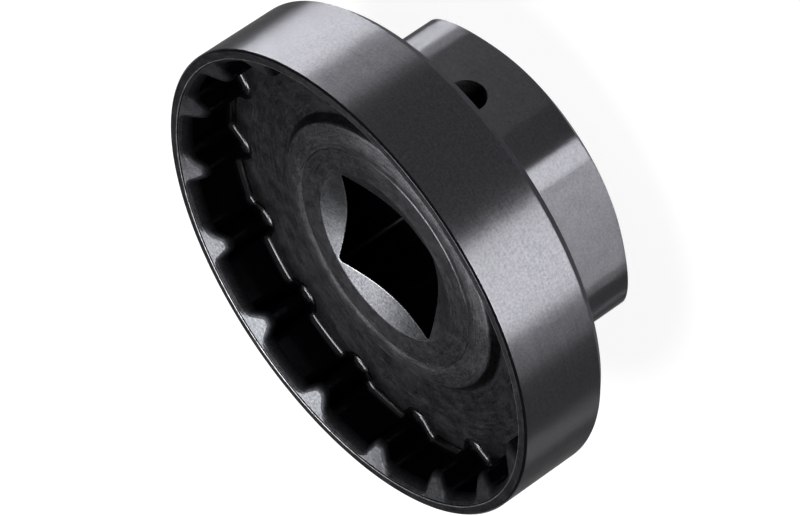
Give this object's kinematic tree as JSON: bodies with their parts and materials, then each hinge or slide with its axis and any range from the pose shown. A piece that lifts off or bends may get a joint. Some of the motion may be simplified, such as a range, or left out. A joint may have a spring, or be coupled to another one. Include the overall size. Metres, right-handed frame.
{
  "type": "bottom bracket tool",
  "caption": "Short steel socket for bottom bracket cups: a wide cup with rounded inner teeth on a hexagonal boss, with a square drive through its middle.",
  "frame": {"origin": "centre of the hexagonal boss's rear face, which the socket stands on", "axes": "+Z along the turning axis, towards the toothed mouth; -Y towards the flat of the boss that has the detent hole"},
  "size_m": [0.0506, 0.0504, 0.021],
  "materials": {
    "black_oxide_steel": "black oxide over fine turning marks, satin"
  },
  "bodies": {
    "root": {"socket_body": "black_oxide_steel"}
  },
  "joints": []
}
